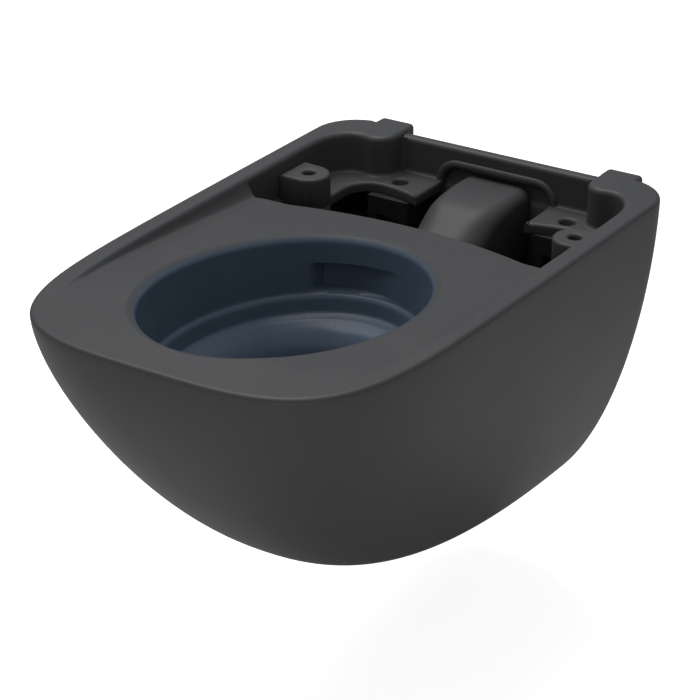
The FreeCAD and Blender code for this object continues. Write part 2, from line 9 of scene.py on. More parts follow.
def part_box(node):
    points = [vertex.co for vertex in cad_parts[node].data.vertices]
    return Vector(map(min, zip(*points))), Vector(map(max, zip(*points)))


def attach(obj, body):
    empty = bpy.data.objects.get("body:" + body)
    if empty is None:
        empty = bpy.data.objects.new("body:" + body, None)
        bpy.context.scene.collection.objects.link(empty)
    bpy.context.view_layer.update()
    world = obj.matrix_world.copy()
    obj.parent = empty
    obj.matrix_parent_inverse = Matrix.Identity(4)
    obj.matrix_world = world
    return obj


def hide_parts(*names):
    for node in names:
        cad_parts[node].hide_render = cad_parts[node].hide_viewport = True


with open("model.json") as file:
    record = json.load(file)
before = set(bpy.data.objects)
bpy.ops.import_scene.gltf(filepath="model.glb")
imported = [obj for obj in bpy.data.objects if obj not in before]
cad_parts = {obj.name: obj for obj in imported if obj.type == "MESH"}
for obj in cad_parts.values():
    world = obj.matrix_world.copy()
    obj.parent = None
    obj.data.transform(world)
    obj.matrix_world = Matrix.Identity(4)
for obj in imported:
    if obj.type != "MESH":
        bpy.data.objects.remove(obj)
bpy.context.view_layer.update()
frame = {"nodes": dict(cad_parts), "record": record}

toMetres = 0.001  # pieces are worked out in millimetres, and depths count down from the rim
otherSide = np.array([-1, 1])  # turns a plan over across the middle
leastStep = 1e-9  # keeps a division from meeting nought
leastDepth = 1e-6
farBelow = (0, 0, -1e6)  # a sheet that looks away from here looks up
panMiddle = (0, -250, 0)
wellMiddle = (60, -110, 60)
wellAbove = (60, -110, 300)


def nodeBox(name):
    # a CAD node's box in millimetres
    return [np.array(corner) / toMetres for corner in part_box(name)]


shellLow = nodeBox("pan_shell")[0]
deckLow, deckHigh = nodeBox("rim_deck")
rimTop = deckHigh[2]


# Small tools for paths, grids and meshes

def place(x, y, depth):
    # plan coordinates and a depth below the rim, as points in metres
    x, y, depth = np.broadcast_arrays(x, y, depth)
    return np.stack([x, y, rimTop - depth], axis=-1) * toMetres


def quarterTurn(count):
    # equal steps of angle from nought to a right angle
    return np.linspace(0, np.pi / 2, count)


def evenly(path, count, warp=((0, 1), (0, 1))):
    # the same path with its points at equal steps of its length, or at steps that the warp stretches
    run = np.concatenate([[0], np.cumsum(np.linalg.norm(np.diff(path, axis=0), axis=1))])
    at = np.interp(np.linspace(0, 1, count), *warp) * run[-1]
    return np.stack([np.interp(at, run, path[:, k]) for k in range(path.shape[1])], axis=1)


def smoothCurve(points, perSpan):
    # cubic Hermite spans through the points, each tangent half the step between its neighbours
    p = np.array(points, float)
    tangent = np.gradient(p, axis=0)
    t = np.linspace(0, len(p) - 1, perSpan * (len(p) - 1) + 1)
    i = np.minimum(t.astype(int), len(p) - 2)
    f = (t - i)[:, None]
    return ((2 * f ** 3 - 3 * f ** 2 + 1) * p[i] + (f ** 3 - 2 * f ** 2 + f) * tangent[i]
            + (3 * f ** 2 - 2 * f ** 3) * p[i + 1] + (f ** 3 - f ** 2) * tangent[i + 1])


def rightOf(path, closed=False):
    # unit normals to the right of the direction of travel, from central differences
    step = np.roll(path, -1, 0) - np.roll(path, 1, 0) if closed else np.gradient(path, axis=0)
    step = step / np.maximum(np.linalg.norm(step, axis=1, keepdims=True), leastStep)
    return np.stack([step[:, 1], -step[:, 0]], axis=1)


def circleLoop(x, y, radius, count):
    # points of a circle, anticlockwise
    turn = np.linspace(0, 2 * np.pi, count, endpoint=False)
    return np.stack([x + radius * np.cos(turn), y + radius * np.sin(turn)], axis=1)


def gridFaces(rows, columns, wrap=False):
    # quads between neighbouring rows and columns; wrap joins the last column to the first
    k = np.arange(columns if wrap else columns - 1)
    a = (np.arange(rows - 1)[:, None] * columns + k).ravel()
    b = (np.arange(rows - 1)[:, None] * columns + (k + 1) % columns).ravel()
    return np.stack([a, b, b + columns, a + columns], axis=1)


def surface(points, aim, away=True, wrap=False):
    # a grid of points as one sheet, turned so that its faces look away from the aim point, or towards it
    rows, columns = points.shape[:2]
    verts = points.reshape(-1, 3)
    faces = gridFaces(rows, columns, wrap)
    a, b, c, d = (verts[faces[:, k]] for k in range(4))
    score = (np.cross(c - a, d - b) * ((a + c) / 2 - np.array(aim) * toMetres)).sum()
    return verts, (faces if (score > 0) == away else faces[:, ::-1]).tolist()


def mirrored(sheet):
    # the same sheet across the middle plane, with its faces turned back
    verts, faces = sheet
    return verts * np.array([-1, 1, 1]), [face[::-1] for face in faces]


supportStrip = 0.4  # flat strip inside a prism's rounded edges, so that its ends shade flat


def prism(loops, top, foot, edgeTop, edgeFoot, steps=5):
    # plan loops (outline anticlockwise, holes clockwise) carried from top to foot, with quarter circles
    # round both edges and triangles over both ends
    turn = quarterTurn(steps + 1)
    offset = np.concatenate([[-edgeTop - supportStrip], edgeTop * (np.sin(turn) - 1),
                             edgeFoot * (np.cos(turn) - 1), [-edgeFoot - supportStrip]])
    depth = np.concatenate([[top], top + edgeTop * (1 - np.cos(turn)),
                            foot - edgeFoot * (1 - np.sin(turn)), [foot]])
    sheets, caps, first = [], ([], []), 0
    for loop in loops:
        out = rightOf(loop, closed=True)
        plan = loop[None] + out[None] * offset[:, None, None]
        points = place(plan[..., 0], plan[..., 1], depth[:, None])
        rows, columns = points.shape[:2]
        faces = gridFaces(rows, columns, wrap=True)[:, ::-1] + first
        sheets.append((points.reshape(-1, 3), faces.tolist()))
        for cap, row in zip(caps, (0, rows - 1)):
            cap.append((points[row], np.arange(columns) + first + row * columns))
        first += rows * columns
    verts = np.concatenate([sheet[0] for sheet in sheets])
    faces = [face for sheet in sheets for face in sheet[1]]
    for cap, up in zip(caps, (1.0, -1.0)):
        ids = np.concatenate([part[1] for part in cap])
        tris = np.array(tessellate_polygon([[Vector(p) for p in part[0]] for part in cap]))
        a, b, c = (verts[ids[tris[:, k]]] for k in range(3))
        turned = np.cross(b - a, c - a)[:, 2] * up < 0
        tris[turned] = tris[turned][:, ::-1]
        faces += ids[tris].tolist()
    return verts, faces


filletLap = {"wall": 0.05, "floor": 0.02}  # how far a fillet reaches into what it joins
edgeRows = 7  # rows of a quarter circle at an edge or in a fillet


def fillet(foot, inward, radius, depth):
    # concave quarter circle that joins a wall along the foot path to the floor at that depth
    turn = quarterTurn(edgeRows)[:, None]
    run = radius * (1 - np.cos(turn))
    plan = foot[None] + inward[None] * run[..., None] - inward[None] * filletLap["wall"]
    rise = radius * (1 - np.sin(turn))
    return place(plan[..., 0], plan[..., 1], depth - rise + filletLap["floor"])


joining = {"merge": 2e-5, "degenerate": 1e-6, "sharpAngle": 40.0}  # metres, metres, degrees


def addPiece(name, sheets, material, stands, glaze=None):
    # one mesh from several sheets: doubles merged, shaded smooth with sharp turns kept, riding on the pan
    starts = np.cumsum([0] + [len(verts) for verts, _ in sheets])
    faces = [[k + start for k in face] for (_, part), start in zip(sheets, starts) for face in part]
    verts = np.concatenate([verts for verts, _ in sheets])
    mesh = bpy.data.meshes.new(name)
    mesh.from_pydata(verts.tolist(), [], faces)
    if glaze is not None:
        cover = mesh.attributes.new("glaze", "FLOAT", "POINT")
        cover.data.foreach_set("value", glaze.astype(np.float32))
    work = bmesh.new()
    work.from_mesh(mesh)
    bmesh.ops.remove_doubles(work, verts=work.verts, dist=joining["merge"])
    bmesh.ops.dissolve_degenerate(work, edges=work.edges, dist=joining["degenerate"])
    work.to_mesh(mesh)
    work.free()
    mesh.shade_smooth()
    mesh.set_sharp_from_angle(angle=np.radians(joining["sharpAngle"]))
    mesh.materials.append(material)
    piece = bpy.data.objects.new(name, mesh)
    bpy.context.scene.collection.objects.link(piece)
    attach(piece, "pan")
    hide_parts(*stands)
    print(name, len(mesh.polygons), "faces")


# Materials

def newMaterial(name):
    # a node tree with its shader, and the object's own coordinates
    material = bpy.data.materials.new(name)
    material.use_nodes = True
    tree = material.node_tree
    shader = tree.nodes["Principled BSDF"]
    coords = tree.nodes.new("ShaderNodeTexCoord")
    return material, tree, shader, coords.outputs["Object"]


noiseRoughness = 0.55


def noise(tree, coords, scale, detail):
    # fractal noise: each finer octave is weaker by the noise roughness
    node = tree.nodes.new("ShaderNodeTexNoise")
    node.inputs["Scale"].default_value = scale
    node.inputs["Detail"].default_value = detail
    node.inputs["Roughness"].default_value = noiseRoughness
    tree.links.new(coords, node.inputs["Vector"])
    return node.outputs["Fac"]


def spread(tree, value, low, high, fromLow=0.3, fromHigh=0.7):
    # a range of the value, by default the noise's middle, mapped straight to the range that a socket needs
    node = tree.nodes.new("ShaderNodeMapRange")
    node.inputs["From Min"].default_value = fromLow
    node.inputs["From Max"].default_value = fromHigh
    node.inputs["To Min"].default_value = low
    node.inputs["To Max"].default_value = high
    tree.links.new(value, node.inputs["Value"])
    return node.outputs["Result"]


def mixColours(tree, factor, first, second):
    # from the first colour to the second by the factor; a colour may be a tuple or a socket
    node = tree.nodes.new("ShaderNodeMix")
    node.data_type = "RGBA"
    tree.links.new(factor, node.inputs["Factor"])
    for socket, colour in ((node.inputs["A"], first), (node.inputs["B"], second)):
        if isinstance(colour, tuple):
            socket.default_value = (*colour, 1)
        else:
            tree.links.new(colour, socket)
    return node.outputs["Result"]


def bump(tree, shader, height, strength, distance):
    # tilts the shader's normal by the slope of the height
    node = tree.nodes.new("ShaderNodeBump")
    node.inputs["Strength"].default_value = strength
    node.inputs["Distance"].default_value = distance
    tree.links.new(height, node.inputs["Height"])
    tree.links.new(node.outputs["Normal"], shader.inputs["Normal"])


mattLook = {
    "dark": (0.063, 0.064, 0.0665), "light": (0.071, 0.072, 0.0745), "cloudScale": 9.0, "cloudDetail": 4,
    "grainScale": 900.0, "grainDetail": 2, "grainBump": 0.05, "grainDepth": 0.0002,
    "roughLow": 0.44, "roughHigh": 0.52, "specular": 0.34,
}
glazeLook = {
    "dark": (0.087, 0.120, 0.167), "light": (0.103, 0.140, 0.191), "cloudScale": 14.0, "cloudDetail": 4,
    "waveScale": 26.0, "waveDetail": 2, "waveBump": 0.06, "waveDepth": 0.002,
    "roughLow": 0.24, "roughHigh": 0.32, "specular": 0.22,
    "tintFrom": 0.04, "tintTo": 0.4,  # share of the glaze's cover over which its colour comes in
}


def mattCeramic():
    # satin anthracite glaze: slow clouds in the colour, a fine orange-peel grain in the relief
    material, tree, shader, coords = newMaterial("mattCeramic")
    clouds = spread(tree, noise(tree, coords, mattLook["cloudScale"], mattLook["cloudDetail"]), 0, 1)
    grain = noise(tree, coords, mattLook["grainScale"], mattLook["grainDetail"])
    shader.inputs["Specular IOR Level"].default_value = mattLook["specular"]
    colour = mixColours(tree, clouds, mattLook["dark"], mattLook["light"])
    tree.links.new(colour, shader.inputs["Base Color"])
    rough = spread(tree, clouds, mattLook["roughLow"], mattLook["roughHigh"], 0, 1)
    tree.links.new(rough, shader.inputs["Roughness"])
    bump(tree, shader, grain, mattLook["grainBump"], mattLook["grainDepth"])
    return material


def bowlGlaze():
    # gloss navy glaze that thins to the satin glaze over the lip, by the glaze attribute
    material, tree, shader, coords = newMaterial("bowlGlaze")
    shader.inputs["Specular IOR Level"].default_value = glazeLook["specular"]
    clouds = spread(tree, noise(tree, coords, glazeLook["cloudScale"], glazeLook["cloudDetail"]), 0, 1)
    navy = mixColours(tree, clouds, glazeLook["dark"], glazeLook["light"])
    satin = mixColours(tree, clouds, mattLook["dark"], mattLook["light"])
    cover = tree.nodes.new("ShaderNodeAttribute")
    cover.attribute_name = "glaze"
    tint = spread(tree, cover.outputs["Fac"], 0, 1, glazeLook["tintFrom"], glazeLook["tintTo"])
    tree.links.new(mixColours(tree, tint, satin, navy), shader.inputs["Base Color"])
    gloss = spread(tree, clouds, glazeLook["roughLow"], glazeLook["roughHigh"], 0, 1)
    rough = tree.nodes.new("ShaderNodeMix")
    rough.inputs["A"].default_value = mattLook["roughHigh"]
    tree.links.new(cover.outputs["Fac"], rough.inputs["Factor"])
    tree.links.new(gloss, rough.inputs["B"])
    tree.links.new(rough.outputs["Result"], shader.inputs["Roughness"])
    waves = noise(tree, coords, glazeLook["waveScale"], glazeLook["waveDetail"])
    bump(tree, shader, waves, glazeLook["waveBump"], glazeLook["waveDepth"])
    return material


fittings = {
    "seal_rubber": {
        "metal": 0.0, "dark": (0.014, 0.014, 0.015), "light": (0.028, 0.028, 0.029), "scale": 60.0,
        "rough": (0.6, 0.8), "reliefScale": 700.0, "relief": 0.25},
    "clamp_plastic": {
        "metal": 0.0, "dark": (0.018, 0.018, 0.02), "light": (0.028, 0.028, 0.03), "scale": 80.0,
        "rough": (0.4, 0.55), "reliefScale": 900.0, "relief": 0.2},
    "screw_steel": {
        "metal": 1.0, "dark": (0.48, 0.48, 0.5), "light": (0.62, 0.62, 0.63), "scale": 120.0,
        "rough": (0.25, 0.4), "reliefScale": 1200.0, "relief": 0.15},
    "shoe_brass": {
        "metal": 1.0, "dark": (0.6, 0.45, 0.2), "light": (0.75, 0.6, 0.32), "scale": 120.0,
        "rough": (0.28, 0.42), "reliefScale": 1200.0, "relief": 0.15},
}
fittingDetail = {"mottle": 5, "relief": 3, "reliefDepth": 0.0003}


def fittingMaterial(name, look):
    # moulded or machined fitting: mottled colour, uneven roughness and a fine relief
    material, tree, shader, coords = newMaterial(name)
    shader.inputs["Metallic"].default_value = look["metal"]
    mottle = spread(tree, noise(tree, coords, look["scale"], fittingDetail["mottle"]), 0, 1)
    tree.links.new(mixColours(tree, mottle, look["dark"], look["light"]), shader.inputs["Base Color"])
    tree.links.new(spread(tree, mottle, *look["rough"], 0, 1), shader.inputs["Roughness"])
    relief = noise(tree, coords, look["reliefScale"], fittingDetail["relief"])
    bump(tree, shader, relief, look["relief"], fittingDetail["reliefDepth"])
    return material


matt = mattCeramic()
navy = bowlGlaze()
print("materials ready")


# Hull: every waterline follows one boat-section formula

hull = {
    "half": deckHigh[0], "length": -deckLow[1], "keelFlat": 3.0, "setback": 12.0, "corner": 45.0,
    "planPower": 10.0, "planRoot": 3.5, "planTaper": 0.025, "keelPower": 2.5, "keelRoot": 1.63,
    "sectionPower": 1.66, "sectionRoot": 2.27, "wall": 10.0, "edge": 4.0, "support": 0.5,
    "columns": 170, "rows": 74, "rowCrowd": 1.35,  # rows crowd towards the keel
    "cornerSteps": 40, "sideSteps": 500, "frontCrowd": 5,  # a waterline's points crowd towards the front
    "liningRows": 40, "liningFoot": 4.0, "lidLap": 0.5,
}
hull["height"] = rimTop - shellLow[2] + hull["keelFlat"]
tower = {
    "inner": 104.0, "outer": 141.0, "nose": -54.0, "tail": -17.0, "floor": 40.0, "edge": 4.0, "plan": 5.0,
    "padFront": -22.0, "padInset": 0.15, "padTop": 0.03, "padFoot": 0.3, "rimLap": 0.3,
    "cornerSteps": 6, "noseSteps": 12, "flankSteps": 8,
    "sinkFrom": -25.0, "sinkFade": 2.0, "sinkRows": 6.0, "sink": 3.0,  # the hull's top rows under the pad
}


def keelDepth(y, inset):
    # the keel's line: a superellipse from the wall to the front
    share = np.clip(-y / (hull["length"] - inset), 0, 1)
    return (hull["height"] - inset) * (1 - share ** hull["keelPower"]) ** (1 / hull["keelRoot"])


def halfWidth(y, depth, inset):
    # plan: a tapered superellipse; section: a superellipse from the rim to the keel
    share = np.clip(-y / (hull["length"] - inset), 0, 1)
    plan = (hull["half"] - inset) * (1 - hull["planTaper"] * share ** 2)
    plan = plan * (1 - share ** hull["planPower"]) ** (1 / hull["planRoot"])
    sunk = np.clip(depth / np.maximum(keelDepth(y, inset), leastDepth), 0, 1)
    return plan * (1 - sunk ** hull["sectionPower"]) ** (1 / hull["sectionRoot"])


def halfOutline(depth, inset, count):
    # right half of a waterline: a quarter turn from the rear plane, then the side to the front, evenly spaced
    rear = -hull["setback"] - inset
    sunk = depth / (hull["height"] - inset)
    front = -(hull["length"] - inset) * (1 - sunk ** hull["keelRoot"]) ** (1 / hull["keelPower"])
    corner = (hull["corner"] - inset) * halfWidth(rear, depth, inset) / (hull["half"] - inset)
    turn = quarterTurn(hull["cornerSteps"])
    y = rear - corner * (1 - np.cos(turn))
    x = halfWidth(y, depth, inset) - corner * (1 - np.sin(turn))
    left = 1 - np.linspace(0, 1, hull["sideSteps"])[1:]
    ySide = front + (y[-1] - front) * left ** hull["frontCrowd"]
    xSide = halfWidth(ySide, depth, inset)
    xSide[-1] = 0
    path = np.stack([np.concatenate([x, xSide]), np.concatenate([y, ySide])], axis=1)
    return evenly(path, count)


def fullOutline(depth, inset, count):
    # the right half and its mirror image, as one path from the rear round the front
    half = halfOutline(depth, inset, count)
    return np.concatenate([half, half[-2::-1] * otherSide])


def hullSheet(depths, insets, columns):
    # one waterline per row; where the corner runs under a tower's pad, the top rows sink out of its way
    plan = np.stack([fullOutline(d, i, columns) for d, i in zip(depths, insets)])
    under = np.clip((tower["outer"] - np.abs(plan[..., 0])) / tower["sinkFade"], 0, 1)
    under = under * (plan[..., 1] > tower["sinkFrom"])
    depth = depths[:, None] + under * np.clip(tower["sinkRows"] - depths[:, None], 0, tower["sink"])
    return place(plan[..., 0], plan[..., 1], depth)


def keelRow(sheet):
    # the lowest waterline drawn in to the middle plane, which closes the sheet
    return sheet[:1] * np.array([0, 1, 1])


def makePanShell():
    # waterlines from the keel to a quarter circle at the rim, and the same formula set in by the wall
    edge, wall = hull["edge"], hull["wall"]
    deepest = hull["height"] - hull["keelFlat"]
    side = deepest - (deepest - edge) * np.linspace(0, 1, hull["rows"]) ** hull["rowCrowd"]
    turn = quarterTurn(edgeRows)[1:]
    depths = np.concatenate([side, edge * (1 - np.sin(turn)), [0]])
    insets = np.concatenate([0 * side, edge * (1 - np.cos(turn)), [edge + hull["support"]]])
    skin = hullSheet(depths, insets, hull["columns"])
    outside = surface(np.concatenate([keelRow(skin), skin]), panMiddle)
    inner = np.linspace(deepest - wall - hull["liningFoot"], border["depth"], hull["liningRows"])
    lining = hullSheet(inner, 0 * inner + wall, hull["columns"])
    lid = hullSheet(inner[-1:], np.array([border["width"] - hull["lidLap"]]), hull["columns"])
    inside = surface(np.concatenate([keelRow(lining), lining, lid]), panMiddle, away=False)
    addPiece("panShell", [outside, inside], matt, ["pan_shell"])


# Rim, towers and the deck that falls to the rear well

border = {
    "width": 20.0, "edge": 5.0, "depth": 40.0, "wellColumns": 120, "deckColumns": 150, "outlineSteps": 900,
    "spread": ((0, 0.24, 0.42, 1), (0, 0.06, 0.34, 1)),  # crowds the outer points beside the tower
    "wallDepths": (11, 20, 31), "wallTuck": -6.0, "cutLap": 0.5,
    "wave": [(133, -52), (143, -54.5), (152, -63.5), (157.6, -76.5), (159.6, -92), (159.7, -104)],
    "wavePoints": 12, "sideFrom": -108.0, "sideSteps": 40, "topRows": 5,
}
deck = {
    "fall": 23.0, "flat": 64.0, "wellFront": -169.0, "edgeRadius": 400.0, "edge": 5.0, "thick": 14.0,
    "drop": 0.84, "start": 4.0, "ledge": 10.0, "blend": 42.0,  # the scoop along the border
    "steep": 2.4, "soften": 0.45, "softMost": 9.0,  # the border's inner wall and its fillet
    "rearColumns": 120, "rows": 46, "nearRows": 15, "nearCrowd": 1.3, "nearWidth": 13,
    "tuckIn": 1.5, "tuckDown": 0.8,  # the last row slips under the bowl's lip
    "skirtBack": (0, 0, -3, -40), "skirtDown": (0, 0.6, 1, 1.6), "skirtAim": (0, -400, 100),
}
deckCorner = -hull["length"] + np.sqrt(deck["edgeRadius"] ** 2 - (hull["half"] - border["width"]) ** 2)


def deckRear(x):
    # the deck's rear edge: an arc bowed back over the well, straight under the border
    reach = np.minimum(np.abs(x), halfWidth(deckCorner, 0, border["width"]))
    return -hull["length"] + np.sqrt(deck["edgeRadius"] ** 2 - reach ** 2)


def softLower(a, b, reach):
    # the smaller of two depths, with a parabola where they are within reach of each other
    reach = np.maximum(reach, leastDepth)
    share = np.clip(0.5 + 0.5 * (b - a) / reach, 0, 1)
    return b + (a - b) * share - reach * share * (1 - share)


def deckDepth(x, y):
    # a plane that falls rearwards, raised in a smooth step beside the border, rounded over at its rear edge,
    # and met by the border's quarter circle and steep inner wall in a soft fillet
    flatFront = deck["flat"] - hull["length"]
    fall = deck["fall"] * np.maximum(y - flatFront, 0) / (deck["wellFront"] - flatFront)
    inside = halfWidth(y, 0, border["width"]) - np.abs(x)
    rise = np.clip((inside - deck["ledge"]) / (deck["blend"] - deck["ledge"]), 0, 1)
    drop = deck["drop"] * np.clip(fall / deck["start"], 0, 1)
    hollow = drop + (1 - drop) * rise ** 2 * (3 - 2 * rise)
    edge = border["edge"]
    past = np.clip(inside + edge, 0, edge)
    wall = edge - np.sqrt(edge ** 2 - past ** 2) + deck["steep"] * np.maximum(inside, 0)
    ahead = np.clip(deckRear(x) - y, 0, deck["edge"])
    roll = deck["edge"] - np.sqrt(deck["edge"] ** 2 - (deck["edge"] - ahead) ** 2)
    soft = np.minimum(deck["soften"] * fall, deck["softMost"])
    return np.maximum(softLower(wall, fall * hollow + roll, soft), 0)


def wellEdge():
    # inner edge of the rim behind the deck: tower side, half-round nose, a shallow wave, rear corner, side
    nose = (tower["outer"] - tower["inner"]) / 2
    turn = np.linspace(np.pi, 1.5 * np.pi, tower["noseSteps"])
    middle = tower["inner"] + nose
    flank = np.linspace(tower["tail"], tower["nose"] + nose, tower["flankSteps"])
    start = np.stack([np.full(len(flank), tower["inner"]), flank], axis=1)
    bend = np.stack([middle + nose * np.cos(turn), tower["nose"] + nose + nose * np.sin(turn)], axis=1)
    perSpan = border["wavePoints"]
    wave = smoothCurve([bend[-2], bend[-1]] + border["wave"], perSpan)[perSpan:]
    y = np.linspace(border["sideFrom"], deckCorner, border["sideSteps"])
    side = np.stack([halfWidth(y, 0, border["width"]), y], axis=1)
    return evenly(np.concatenate([start[:-1], bend[:-1], wave, side]), border["wellColumns"])


def rimSheet(innerWell, innerDeck):
    # the rim's flat top: straight lines between its outer and its inner edge
    outer = halfOutline(0, hull["edge"] + hull["support"], border["outlineSteps"])
    start = np.argmax(outer[:, 0] > tower["outer"] - tower["rimLap"])
    cut = np.argmax(outer[:, 1] < deckCorner)
    besideWell = evenly(outer[start:cut + 1], border["wellColumns"], border["spread"])
    outerPath = np.concatenate([besideWell[:-1], evenly(outer[cut:], border["deckColumns"])])
    innerPath = np.concatenate([innerWell[:-1], innerDeck])
    across = np.linspace(0, 1, border["topRows"])[:, None, None]
    top = outerPath[None] * (1 - across) + innerPath[None] * across
    return surface(place(top[..., 0], top[..., 1], 0.0), farBelow)


def wellWallSheet(innerWell, toWell):
    # from the rim's top over a quarter circle down the well's side, and tucked back at its foot
    edge = border["edge"]
    turn = quarterTurn(edgeRows)
    down = [*border["wallDepths"], border["depth"]]
    out = np.concatenate([edge * np.sin(turn), [edge] * len(down), [border["wallTuck"]]])
    depth = np.concatenate([edge * (1 - np.cos(turn)), down, down[-1:]])
    wall = innerWell[None] + toWell[None] * out[:, None, None]
    aim = (0, *wellMiddle[1:])
    return surface(place(wall[..., 0], wall[..., 1], depth[:, None]), aim, away=False)


def deckSheet(innerDeck, rear):
    # rays from the bowl's centre: rows crowd at the border, then run evenly to the ellipse of the lip
    centre = np.array([0, bowl["centre"]])
    loop = np.concatenate([innerDeck, innerDeck[-2:0:-1] * otherSide, rear[:-1]])
    ray = loop - centre
    axes = np.array([bowl["acrossLip"], bowl["alongLip"]]) + bowl["lip"]
    lip = ray / np.linalg.norm(ray / axes, axis=1, keepdims=True)
    span = np.linalg.norm(ray - lip, axis=1)
    crowd = np.linspace(0, 1, deck["nearRows"])[:, None] ** deck["nearCrowd"]
    near = 1 - crowd * deck["nearWidth"] / span[None]
    far = near[-1:] * np.linspace(1, 0, deck["rows"])[1:, None]
    share = np.concatenate([near, far])[..., None]
    plan = lip[None] + (ray - lip)[None] * share + centre
    depth = deckDepth(plan[..., 0], plan[..., 1])
    under = lip * (1 - deck["tuckIn"] / np.linalg.norm(lip, axis=1, keepdims=True)) + centre
    plan = np.concatenate([plan, under[None]])
    depth = np.concatenate([depth, depth[-1:] + deck["tuckDown"]])
    return surface(place(plan[..., 0], plan[..., 1], depth), farBelow, wrap=True)


def skirtSheet(rear):
    # the deck's rear face: its edge carried down by its thickness and back under it
    thick = deck["thick"] - deck["edge"]
    y = rear[:, 1] + np.array(deck["skirtBack"])[:, None]
    depth = deckDepth(rear[:, 0], rear[:, 1]) + np.array(deck["skirtDown"])[:, None] * thick
    return surface(place(rear[None, :, 0], y, depth), deck["skirtAim"])


def towerPad():
    # the pad that reaches the wall: a rectangle with quarter-turn corners, carried down to the tower's floor
    r = tower["plan"]
    left, right = tower["inner"] + tower["padInset"] + r, tower["outer"] - tower["padInset"] - r
    back, front = -r, tower["padFront"] + r
    loop = []
    for k, (x, y) in enumerate(((right, back), (left, back), (left, front), (right, front))):
        turn = quarterTurn(tower["cornerSteps"]) + k * np.pi / 2
        loop.append(np.stack([x + r * np.cos(turn), y + r * np.sin(turn)], axis=1))
    return prism([np.concatenate(loop)], tower["padTop"], tower["floor"], tower["edge"], tower["padFoot"])


def makeRimDeck():
    # the rim's sheets on both sides, and the deck between them with its rear face
    edge = wellEdge()
    toWell = rightOf(edge)
    innerWell = edge - border["edge"] * toWell
    inner = halfOutline(0, border["width"] - border["edge"], border["outlineSteps"])
    inner = inner[inner[:, 1] < deckCorner - border["cutLap"]]
    innerDeck = evenly(np.concatenate([innerWell[-1:], inner]), border["deckColumns"])
    rearX = np.sin(np.linspace(-np.pi / 2, np.pi / 2, deck["rearColumns"])) * innerDeck[0, 0]
    rear = np.stack([rearX, deckRear(rearX)], axis=1)
    rear[0] = innerDeck[0] * otherSide
    rear[-1] = innerDeck[0]
    sides = [rimSheet(innerWell, innerDeck), wellWallSheet(innerWell, toWell), towerPad()]
    middle = [deckSheet(innerDeck, rear), skirtSheet(rear)]
    addPiece("rimDeck", sides + [mirrored(sheet) for sheet in sides] + middle, matt,
             ["rim_deck", "left_tower", "right_tower"])


# Bowl: ellipses from the lip over the ledge to the trap

bowlBox = nodeBox("bowl_ring")
bowl = {
    "wall": 8.0, "lip": 8.0, "taper": 4.0, "ledge": 60.0, "tilt": 10.5, "columns": 288, "perSpan": 6,
    "centre": (bowlBox[0][1] + bowlBox[1][1]) / 2, "levelAt": 130, "levelOver": 66,
    "lipRows": 10, "wallRows": 22, "backStep": 3, "backTop": 1, "glazeFrom": 0.05, "glazeOver": 8,
    # depth, growth of both half axes, more growth along, shift to the rear
    "profile": [(61, -4.6, 0, 0), (62.2, -6.2, 0, 0), (63.6, -7.4, 0, 0), (66, -8.2, 0, 0),
                (76, -9.8, 0, 0), (79, -11, 0, 0), (81.5, -14.5, 0, 0), (84.5, -19, -2, 1),
                (93, -27, -8, 4), (108, -35, -13, 8), (130, -41, -16, 15), (162, -47, -22, 30),
                (190, -53, -30, 46)],
    # middle, depth, half axes across and along, lean in radians; the first middle counts from the centre
    "sumpStart": (46, 190, 57, 66, 0.0),
    "sump": [(-314, 206, 47, 50, 0.26), (-291, 228, 33, 33, 0.9), (-270, 246, 33, 33, 0.9)],
}
bowl["acrossLip"] = bowlBox[1][0] - bowl["wall"]
bowl["alongLip"] = (bowlBox[1][1] - bowlBox[0][1]) / 2 - bowl["wall"]
flushSlot = {
    "reach": 15.0, "left": 58.0, "leftFade": 2.5, "right": 24.0, "fade": 82.0, "fadePower": 1.4,
    "top": 44.0, "topFade": 2.0, "foot": 70.0, "footFade": 1.5, "rearFrom": 0.3,
}


def slotRecess(x, depth, s):
    # the wall steps back under the lip, sharply at the left end and with a power that fades to the right
    left = np.clip((x + flushSlot["left"]) / flushSlot["leftFade"], 0, 1)
    right = np.clip((flushSlot["right"] - x) / flushSlot["fade"], 0, 1)
    high = (np.clip((depth - flushSlot["top"]) / flushSlot["topFade"], 0, 1)
            * np.clip((flushSlot["foot"] - depth) / flushSlot["footFade"], 0, 1))
    rear = s > flushSlot["rearFrom"]
    return flushSlot["reach"] * rear * left * right ** flushSlot["fadePower"] * high


